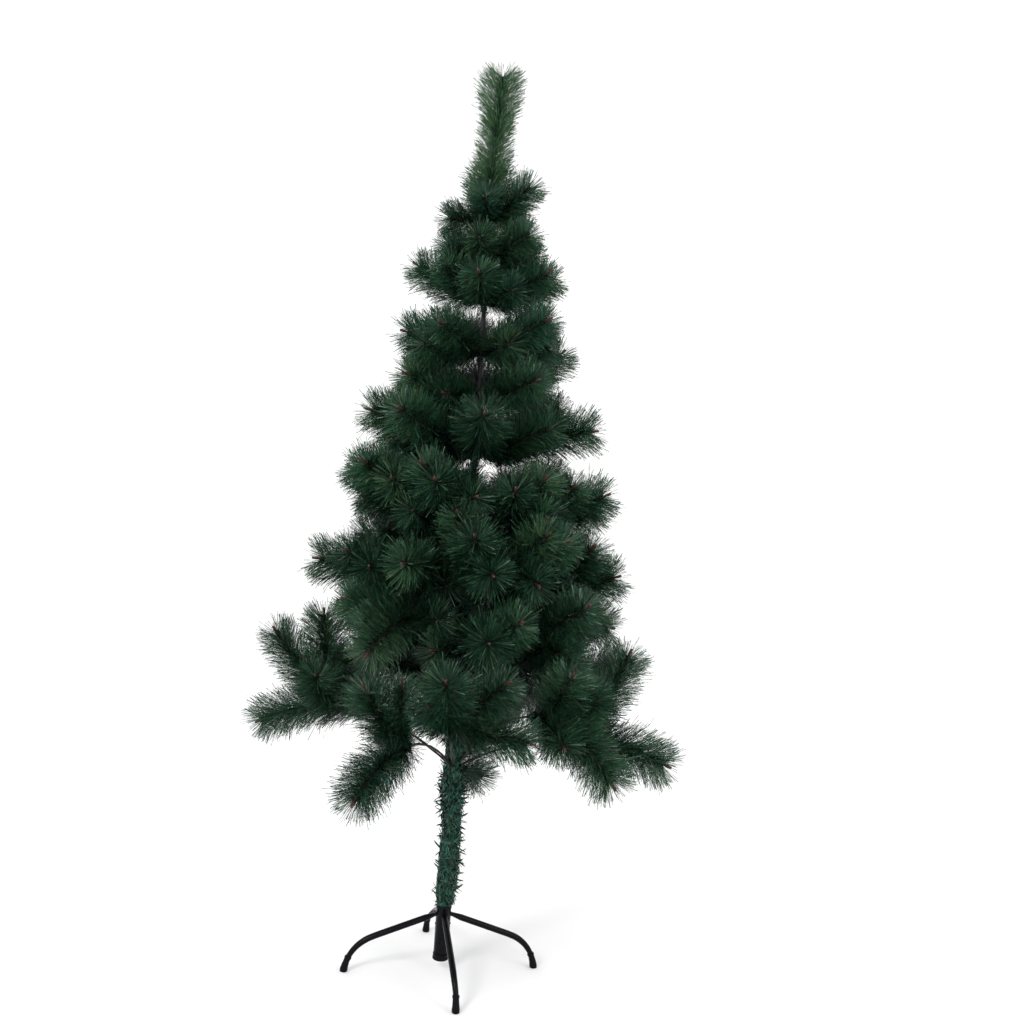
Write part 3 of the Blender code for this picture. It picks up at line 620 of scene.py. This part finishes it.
def add_needles(soup, points, start, lean, size, shade, bare_tip=BARE_TIP, flatness=FLATNESS,
                density=1.0):
    """Bottle brush on a wire: strands of needles wound round it and leaning to its tip."""
    arcs = arc_lengths(points)
    first = start * arcs[-1]
    last = arcs[-1] - bare_tip
    clumps = int((last - first) * density * NEEDLES_PER_METRE / NEEDLE_CLUMP)
    order = np.arange(clumps)
    place = first + (last - first) * (order + rng.random(clumps)) / clumps
    turn = (2.0 * math.pi * place / WIND_PITCH + math.pi * (order % 2)
            + rng.normal(0.0, WIND_SPREAD, clumps) + rng.uniform(0.0, 2.0 * math.pi))
    to_tip = np.clip(1.0 - (last - place) / TIP_STRETCH, 0.0, 1.0)
    tilt = lean + (TIP_LEAN - lean) * to_tip * rng.random(clumps)
    tilt += rng.normal(0.0, LEAN_SPREAD, clumps)
    reach = NEEDLE_LENGTH * size * rng.uniform(*STRAND_LENGTHS, clumps)
    from_start = np.clip((place - first) / START_STRETCH, 0.0, 1.0)
    reach *= START_SHARE + (1.0 - START_SHARE) * from_start
    reach *= 1.0 - TIP_SHORT * to_tip
    bow = rng.normal(0.0, STRAND_BOW, (clumps, 3))
    greens = rng.choice(len(SHADES[shade]), clumps, p=SHADES[shade])

    owner = np.repeat(order, NEEDLE_CLUMP)
    count = len(owner)
    loose = rng.uniform(*CLUMP_LOOSENESS)
    place = np.clip(place[owner] + rng.normal(0.0, CLUMP_ALONG, count), first, last)
    turn = turn[owner] + rng.normal(0.0, CLUMP_TURN * loose, count)
    tilt = np.radians(tilt[owner] + rng.normal(0.0, CLUMP_LEAN * loose, count))[:, None]
    ahead, wide, deep = (along_path(part, arcs, place) for part in brush_frames(points))
    outward = unit(wide * np.cos(turn)[:, None] + deep * (np.sin(turn) * flatness)[:, None])
    directions = ahead * np.cos(tilt) + outward * np.sin(tilt)
    # painted glints: short pale needles, more of them at the wire's tip
    glints = rng.random(count) < GLINT_SHARE * (1.0 + GLINT_TIP * to_tip[owner])
    shares = rng.uniform(*CLUMP_LENGTHS, count) * np.where(glints, GLINT_LENGTH, 1.0)
    reach = (reach[owner] * shares)[:, None]
    bow = bow[owner] + rng.normal(0.0, CLUMP_BOW, (count, 3)) + ahead * FORWARD_BOW
    bow = bow * (reach / NEEDLE_LENGTH)
    edges = unit(np.cross(directions, rng.normal(size=(count, 3))))
    half = 0.5 * NEEDLE_WIDTH * rng.uniform(*CLUMP_WIDTHS, (count, 1)) * edges
    root = along_path(points, arcs, place) + outward * WIRE_RADIUS * NEEDLE_ROOT
    low, high = ((root + directions * reach * share + bow * share ** 2) for share in SHADE_SHARES)
    tip = root + directions * reach + bow
    blunt = rng.random((count, 1)) < BLUNT_SHARE
    base = np.where(blunt, tip, low)
    point = np.where(blunt, low, tip)
    corners = np.stack((root - half, root + half, high, base - half, base + half, point), axis=1)
    faces = np.arange(6 * count).reshape(-1, 3)
    paints = needle_paints(points, root, shade, greens[owner], glints)
    soup.add(corners.reshape(-1, 3), faces, paints)


def add_wire(soup, points, radius, bare, bud=True):
    """Twisted wire of a twig, dark over an inner share and brown outside, with a wrapped bud."""
    fine = resampled(points, WIRE_SPACING)
    turn = int(round(bare * (len(fine) - 1)))
    for part, paint in ((fine[:turn + 1], DARK_WIRE), (fine[turn:], WRAPPED)):
        if len(part) > 2:
            radii = np.full(len(part), radius)
            add_rope(soup, part, radii, WIRE_SIDES, paint, WIRE_TWIST, WIRE_RELIEF)
    if bud:
        ahead = unit(fine[-1] - fine[-2])
        shares, swells = np.array(BUD_OUTLINE).T
        points = fine[-1] + ahead * ((shares[:, None] - BUD_INSIDE) * BUD_LENGTH)
        add_rope(soup, points, BUD_RADIUS * swells, BUD_SIDES, BUD)


def any_shade():
    return int(rng.choice(len(SHADE_ODDS), p=SHADE_ODDS))


def grow_twig(needles, wires, path, start, size, bud=True):
    add_wire(wires, path, WIRE_RADIUS * TWIG_WIRE, TWIG_DARK_SHARE, bud)
    bare_tip = BARE_TIP if bud else 0.0
    add_needles(needles, path, start, NEEDLE_LEAN, size, any_shade(), bare_tip)


def grow_filler(needles, wires, tier, bough):
    """One short seeded twig between a bough's own ones."""
    _, fork, size = TIERS[tier]
    sign = 1 if rng.integers(2) else -1
    fork += rng.uniform(*FILLER_SHIFT)
    swing = sign * rng.uniform(*FILLER_SWING)
    climb = rng.uniform(*FILLER_CLIMB)
    path = twig_path(tier, bough, fork, (swing, climb, rng.uniform(*FILLER_LENGTH)))
    grow_twig(needles, wires, path, TWIG_START, size * TWIG_SIZE, bud=False)


def grow_bough(needles, wires, tier, bough, more):
    """A bough and its side twigs, and any more that come with forks of their own."""
    _, fork, size = TIERS[tier]
    _, reach, _, _, twigs = bough
    path = bough_path(tier, bough)
    if tier == "j":
        add_wire(wires, path, WIRE_RADIUS, LOW_BARE)
        add_needles(needles, path, fork - LOW_START, NEEDLE_LEAN, size, any_shade())
    else:
        grow_twig(needles, wires, path, BOUGH_START, size, reach > BUD_REACH)
    for share, twig in [(fork, twig) for twig in twigs] + more:
        path = twig_path(tier, bough, share, twig)
        grow_twig(needles, wires, path, TWIG_START, size * TWIG_SIZE)


def grow_leader(needles):
    for low, high, lean, size in LEADER_RUNS:
        heights = np.linspace(low, high, LEADER_STEPS)
        path = np.array([(pole_value(z, 1), 0.0, z) for z in heights])
        add_needles(needles, path, 0.0, lean, size, LEADER_SHADE, 0.0, LEADER_FLATNESS,
                    LEADER_DENSITY)


def piece_of(tier, place):
    """Foliage piece that a mass belongs to."""
    if tier == "j" and "left" in place:
        return "j_left"
    return next(name for name, tiers in PIECES if tier in tiers)


def grow_tree(paints):
    wires = Soup()
    for name, tiers in PIECES:
        needles = Soup()
        nodes = []
        if "spire" in tiers:
            nodes.append("mass_spire")
            grow_leader(needles)
        for tier, place, boughs in MASSES:
            if piece_of(tier, place) != name:
                continue
            nodes.append("mass_" + tier + ("_" + place if place else ""))
            for number, bough in enumerate(boughs):
                more = [row[3:] for row in EXTRA_TWIGS if row[:3] == (tier, place, number)]
                grow_bough(needles, wires, tier, bough, more)
                if tier in FILLER_TIERS:
                    grow_filler(needles, wires, tier, bough)
        for tier in tiers:
            for azimuth, reach, climb in EXTRA_BOUGHS.get(tier, ()):
                path = bough_path(tier, (azimuth, reach, climb, 0.0, ()))
                size = TIERS[tier][2] * EXTRA_SIZE
                grow_twig(needles, wires, path, BOUGH_START, size, bud=False)
        piece = needles.to_object("needles_" + name, paints["needles"])
        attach(piece, "root")
        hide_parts(*nodes)
    made = wires.to_object("twig_wires", paints["wires"], smooth=True)
    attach(made, "root")
    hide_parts(*["bough_j_" + place for tier, place, _ in MASSES if tier == "j"])


# ---- pole and tinsel ----
def build_pole(paints):
    """The pole with its wound tape, a slow saw-tooth relief along it, and its wire leader. A
    wound wire binds each tier's boughs to it."""
    heights = np.arange(POLE[0][0], LEADER_TIP, POLE_STEP)
    points = np.array([(pole_value(z, 1), 0.0, z) for z in heights])
    wraps = (heights / TAPE_PITCH) % 1.0
    radii = np.array([pole_value(z, 2) for z in heights]) + TAPE_RELIEF * wraps
    soup = Soup()
    painted = heights < LEADER_START
    wire = np.logical_not(painted)
    add_rope(soup, points[painted], radii[painted], POLE_SIDES, PAINTED)
    add_rope(soup, points[wire], radii[wire] - TAPE_RELIEF, LEADER_SIDES, LEADER, WIRE_TWIST,
             LEADER_RELIEF)
    turns = np.linspace(0.0, COIL_TURNS, COIL_TURNS * COIL_STEPS + 1)
    angles = 2.0 * math.pi * turns
    for height, _, _ in TIERS.values():
        reach = pole_value(height, 2) + COIL_WIRE
        coil = np.stack((pole_value(height, 1) + reach * np.cos(angles), reach * np.sin(angles),
                         height - COIL_DROP + COIL_PITCH * turns), axis=1)
        add_rope(soup, coil, np.full(len(coil), COIL_WIRE), COIL_SIDES, BINDING)
    pole = soup.to_object("pole", paints["pole"], smooth=True)
    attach(pole, "root")
    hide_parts("trunk_pole")


def build_tinsel(name, outline, node, paints):
    """Film strips wound round the pole, each out from the pole and then laid along it."""
    low = outline[0][0]
    high = outline[-1][0]
    count = int((high - low) * TINSEL_PER_METRE)
    heights = low + (high - low) * (np.arange(count) + rng.random(count)) / count
    outer = read_off(outline, heights)
    inner = read_off(POLE, heights, 2) + TINSEL_ROOT
    angles = rng.uniform(0.0, 2.0 * math.pi, count)
    outward = np.stack((np.cos(angles), np.sin(angles), np.zeros(count)), axis=1)
    around = np.stack((-np.sin(angles), np.cos(angles), np.zeros(count)), axis=1)
    upward = np.array((0.0, 0.0, 1.0))
    stray = rng.random(count) < TINSEL_STRAY
    climb = np.radians(rng.normal(*TINSEL_CLIMB, count))
    laid = around * np.cos(climb)[:, None] + upward * np.sin(climb)[:, None]
    laid[rng.random(count) < 0.5] *= -1.0
    depth = np.where(stray, 1.0, rng.uniform(*TINSEL_DEPTHS, count))
    root = outward * inner[:, None] + upward * heights[:, None]
    knee = outward * (inner + (outer - inner) * depth)[:, None] + upward * heights[:, None]
    length = TINSEL_LENGTH * rng.uniform(*TINSEL_LENGTHS, count)
    lift = np.where(stray, rng.uniform(*STRAY_LIFTS, count), rng.uniform(*TINSEL_LIFTS, count))
    tip = knee + (laid * (1.0 - 0.5 * lift)[:, None] + outward * lift[:, None]) * length[:, None]
    tip[:, 2] = np.maximum(tip[:, 2], low)
    most = outer + np.where(stray, STRAY_PAST, TINSEL_PAST)
    shrink = np.minimum(1.0, most / np.hypot(tip[:, 0], tip[:, 1]))
    tip[:, :2] *= shrink[:, None]
    shift = read_off(outline, heights, 2)
    knee[:, 0] += 0.5 * shift
    tip[:, 0] += shift
    shares = np.array(TINSEL_STATIONS)[None, :, None]
    spines = (root[:, None] * (1 - shares) ** 2 + knee[:, None] * 2 * shares * (1 - shares)
              + tip[:, None] * shares ** 2)
    edges = unit(np.cross(outward, laid) + rng.normal(0.0, TINSEL_TILT, (count, 3)))
    widths = TINSEL_WIDTH * rng.uniform(*TINSEL_WIDTHS, count)
    paint = rng.choice(len(FOIL_ODDS), count, p=FOIL_ODDS)
    soup = Soup()
    add_strips(soup, spines, edges, widths, TINSEL_TAPER, paint)
    piece = soup.to_object(name, paints["tinsel"])
    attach(piece, "root")
    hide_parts(node)


# ---- stand ----
def leg_path(azimuth, swing):
    """Leg's centre line: slope, bend and foot."""
    # reach, height and share of the swing
    outline = (
        (0.006, LEG_TOP + 0.0025, 0.0),
        (0.016, LEG_TOP - 0.0010, 0.0),
        (0.028, LEG_TOP - 0.0055, 0.0),
        (0.114, 0.0603, 0.0),
        (0.131, 0.0527, 0.1),
        (0.143, 0.0430, 0.4),
        (0.151, 0.0330, 0.8),
        (FOOT_REACH - 0.006, 0.0240, 1.0),
        (FOOT_REACH - 0.001, 0.0090, 1.0),
    )
    points = [polar(azimuth + swing * share, reach, height) for reach, height, share in outline]
    return smooth_path(resampled(np.array(points), spacing=0.012), steps=5)


def build_leg(side, azimuth, swing, paints):
    points = leg_path(azimuth, swing)
    arcs = arc_lengths(points)
    radii = LEG_RADIUS * read_off(LEG_TAPER, arcs / arcs[-1])
    soup = Soup()
    add_rope(soup, points, radii, TUBE_SIDES, STEEL, squash=read_off(LEG_FLAT, arcs))
    leg = soup.to_object("leg_" + side, paints["steel"], smooth=True)
    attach(leg, "root")
    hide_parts("stand_leg_" + side)


def build_cap(side, azimuth, paints):
    """Moulded cap: a collar at its mouth, a waist, and a foot that flares to a round rim."""
    centre = ((FOOT_REACH - 0.0068, CAP_HEIGHT), (FOOT_REACH - 0.0038, 0.0180),
              (FOOT_REACH - 0.0012, 0.0095), (FOOT_REACH, 0.0030), (FOOT_REACH, 0.0012),
              (FOOT_REACH, 0.0))
    points = smooth_path([polar(azimuth, reach, height) for reach, height in centre], steps=6)
    radii = CAP_RADIUS * read_off(CAP_OUTLINE, points[:, 2])
    soup = Soup()
    add_rope(soup, points, radii, TUBE_SIDES, 0)
    cap = soup.to_object("cap_" + side, paints["plastic"], smooth=True)
    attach(cap, "root")
    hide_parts("foot_cap_" + side)


def build_socket(paints):
    """The stand's tube with a lip at its mouth, and two rivets for each leg."""
    lip = SOCKET_RADIUS + SOCKET_LIP
    soup = Soup()
    add_turned(soup, (
        (SOCKET_BORE, SOCKET_BOTTOM + 0.0005),
        (SOCKET_BORE + 0.0006, SOCKET_BOTTOM),
        (SOCKET_RADIUS - 0.0006, SOCKET_BOTTOM),
        (SOCKET_RADIUS, SOCKET_BOTTOM + 0.0006),
        (SOCKET_RADIUS, SOCKET_TOP - 0.0050),
        (lip, SOCKET_TOP - 0.0040),
        (lip, SOCKET_TOP - 0.0010),
        (SOCKET_RADIUS, SOCKET_TOP),
        (SOCKET_BORE + 0.0005, SOCKET_TOP),
        (SOCKET_BORE, SOCKET_TOP - 0.0005),
    ), SOCKET_SIDES, STEEL)
    for _, azimuth, swing in LEGS:
        slope = azimuth + STAND_TURN - swing
        for height in RIVET_HEIGHTS:
            seat = polar(slope, SOCKET_RADIUS - RIVET_SINK, height)
            add_turned(soup, RIVET_DOME[::-1], RIVET_SIDES, RIVET, seat, polar(slope, 1.0, 0.0))
    socket = soup.to_object("socket", paints["steel"], smooth=True)
    socket.data.set_sharp_from_angle(angle=math.radians(CREASE_ANGLE))
    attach(socket, "root")
    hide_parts("stand_socket")


def build_plug(paints):
    soup = Soup()
    add_turned(soup, (
        (0.0, PLUG_BOTTOM),
        (PLUG_RADIUS - 0.0030, PLUG_BOTTOM),
        (PLUG_RADIUS - 0.0010, PLUG_BOTTOM + 0.0006),
        (PLUG_RADIUS + 0.0004, PLUG_BOTTOM + 0.0026),
        (PLUG_RADIUS, PLUG_BOTTOM + 0.0060),
        (PLUG_RADIUS - 0.0006, SOCKET_BOTTOM - 0.0030),
        (PLUG_RADIUS, SOCKET_BOTTOM - 0.0020),
        (PLUG_RADIUS, SOCKET_BOTTOM - 0.0006),
        (0.0, SOCKET_BOTTOM - 0.0006),
    ), SOCKET_SIDES, 0)
    plug = soup.to_object("plug", paints["plastic"], smooth=True)
    plug.data.set_sharp_from_angle(angle=math.radians(CREASE_ANGLE))
    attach(plug, "root")
    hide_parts("stand_plug")


def build_stand(paints):
    build_socket(paints)
    build_plug(paints)
    for side, azimuth, swing in LEGS:
        build_leg(side, azimuth + STAND_TURN - swing, swing, paints)
        build_cap(side, azimuth + STAND_TURN, paints)


# ---- materials ----
def plain_material(name, colour, roughness, metallic=0.0, specular=0.5):
    made = bpy.data.materials.new(name)
    made.use_nodes = True
    shader = made.node_tree.nodes["Principled BSDF"]
    shader.inputs["Base Color"].default_value = (*colour, 1.0)
    shader.inputs["Roughness"].default_value = roughness
    shader.inputs["Metallic"].default_value = metallic
    shader.inputs["Specular IOR Level"].default_value = specular
    return made


def varied_material(name, dark, light, roughness, scale, metallic=0.0, specular=0.5, bump=0.0):
    """Colour that drifts between two tones with a noise, and a bump from the same noise."""
    made = plain_material(name, light, roughness, metallic, specular)
    tree = made.node_tree
    shader = tree.nodes["Principled BSDF"]
    place = tree.nodes.new("ShaderNodeTexCoord")
    noise = tree.nodes.new("ShaderNodeTexNoise")
    noise.inputs["Scale"].default_value = scale
    noise.inputs["Detail"].default_value = NOISE_DETAIL
    ramp = tree.nodes.new("ShaderNodeValToRGB")
    for stop, position, colour in zip(ramp.color_ramp.elements, NOISE_BAND, (dark, light)):
        stop.position = position
        stop.color = (*colour, 1.0)
    tree.links.new(place.outputs["Object"], noise.inputs["Vector"])
    tree.links.new(noise.outputs["Fac"], ramp.inputs["Fac"])
    tree.links.new(ramp.outputs["Color"], shader.inputs["Base Color"])
    if bump:
        raised = tree.nodes.new("ShaderNodeBump")
        raised.inputs["Strength"].default_value = bump
        raised.inputs["Distance"].default_value = BUMP_HEIGHT
        tree.links.new(noise.outputs["Fac"], raised.inputs["Height"])
        tree.links.new(raised.outputs["Normal"], shader.inputs["Normal"])
    return made


def build_materials():
    greens = (
        # the deep green is a tone of its own that also paints shade; the pale one only paints
        # light
        ("needles_deep_and_shade", (0.0040, 0.0140, 0.0078), (0.0070, 0.0230, 0.0125)),
        ("needles_mid", (0.0135, 0.053, 0.023), (0.027, 0.089, 0.042)),
        ("needles_teal", (0.013, 0.056, 0.037), (0.027, 0.098, 0.066)),
        ("needles_olive", (0.036, 0.084, 0.036), (0.070, 0.136, 0.064)),
        ("needles_painted_light", (0.090, 0.150, 0.115), (0.200, 0.270, 0.225)),
    )
    needles = [varied_material(name, dark, light, roughness=0.32, scale=60.0, specular=0.28)
               for name, dark, light in greens]
    foils = (
        # the teal foil is lighter as a painted highlight; the dark foil paints the shade between
        # strips
        ("tinsel_green", (0.005, 0.032, 0.016), (0.011, 0.060, 0.031)),
        ("tinsel_teal_highlight", (0.010, 0.056, 0.041), (0.022, 0.100, 0.076)),
        ("tinsel_painted_shade", (0.002, 0.009, 0.006), (0.004, 0.016, 0.011)),
    )
    tinsel = [varied_material(name, dark, light, roughness=0.25, scale=90.0, specular=0.25)
              for name, dark, light in foils]
    bare = varied_material("dark_wire", (0.005, 0.004, 0.004), (0.014, 0.010, 0.009),
                           roughness=0.5, scale=250.0, specular=0.15, bump=0.3)
    wrapped = varied_material("wrapped_wire", (0.026, 0.011, 0.008), (0.052, 0.022, 0.017),
                              roughness=0.6, scale=220.0, specular=0.2, bump=0.5)
    bud = varied_material("bud_brown", (0.040, 0.017, 0.013), (0.080, 0.034, 0.027),
                          roughness=0.6, scale=300.0, specular=0.2, bump=0.5)
    steel = varied_material("black_steel", (0.0016, 0.0017, 0.0028), (0.0034, 0.0036, 0.0056),
                            roughness=0.26, scale=140.0, specular=0.09, bump=0.05)
    rivet = varied_material("rivet_steel", (0.03, 0.03, 0.035), (0.06, 0.06, 0.07),
                            roughness=0.35, scale=400.0, metallic=0.5)
    plastic = varied_material("black_plastic", (0.0016, 0.0016, 0.0030), (0.004, 0.004, 0.006),
                              roughness=0.42, scale=300.0, specular=0.08, bump=0.12)
    pole = varied_material("pole_paint", (0.018, 0.015, 0.019), (0.045, 0.039, 0.046),
                           roughness=0.45, scale=120.0, specular=0.25, bump=0.2)
    binding = varied_material("wire_binding", (0.008, 0.030, 0.020), (0.016, 0.055, 0.036),
                              roughness=0.5, scale=200.0, bump=0.3)
    return {"needles": needles, "tinsel": tinsel, "wires": [bare, wrapped, bud],
            "steel": [steel, rivet], "plastic": [plastic], "pole": [pole, binding, bare]}


# ---- floor, light and camera ----
def build_stage():
    mesh = bpy.data.meshes.new("floor")
    half = FLOOR_HALF
    corners = [(-half, -half, 0), (half, -half, 0), (half, half, 0), (-half, half, 0)]
    mesh.from_pydata(corners, [], [(0, 1, 2, 3)])
    floor = bpy.data.objects.new("floor", mesh)
    bpy.context.scene.collection.objects.link(floor)
    mesh.materials.append(varied_material("pale_floor", (0.92, 0.92, 0.92), (0.94, 0.94, 0.94),
                                          roughness=0.9, scale=2.0, specular=0.2))
    world = bpy.data.worlds.new("studio")
    world.use_nodes = True
    world.node_tree.nodes["Background"].inputs["Color"].default_value = (1.0, 1.0, 1.0, 1.0)
    world.node_tree.nodes["Background"].inputs["Strength"].default_value = SKY_STRENGTH
    bpy.context.scene.world = world
    bpy.context.scene.view_settings.view_transform = "Standard"


def add_light(name, place, target, size, power):
    light = bpy.data.lights.new(name, "AREA")
    light.shape = "DISK"
    light.size = size
    light.energy = power
    holder = bpy.data.objects.new(name, light)
    holder.location = place
    direction = Vector(target) - Vector(place)
    holder.rotation_euler = direction.to_track_quat("-Z", "Y").to_euler()
    bpy.context.scene.collection.objects.link(holder)


def build_camera():
    camera = bpy.data.cameras.new("camera")
    camera.sensor_width = SENSOR_WIDTH
    camera.lens = FOCAL_SHARE * camera.sensor_width
    holder = bpy.data.objects.new("camera", camera)
    turn = (Matrix.Rotation(math.radians(-CAMERA_YAW), 4, "Z")
            @ Matrix.Rotation(math.radians(90.0 + CAMERA_PITCH), 4, "X")
            @ Matrix.Rotation(math.radians(CAMERA_ROLL), 4, "Z"))
    holder.matrix_world = Matrix.Translation(CAMERA_PLACE) @ turn
    bpy.context.scene.collection.objects.link(holder)
    bpy.context.scene.camera = holder


paints = build_materials()
grow_tree(paints)
build_pole(paints)
build_tinsel("tinsel_lower", TINSEL_LOWER, "garland_lower", paints)
build_tinsel("tinsel_upper", TINSEL_UPPER, "garland_upper", paints)
build_stand(paints)
build_stage()
for name, light in LIGHTS.items():
    add_light(name, *light)
build_camera()
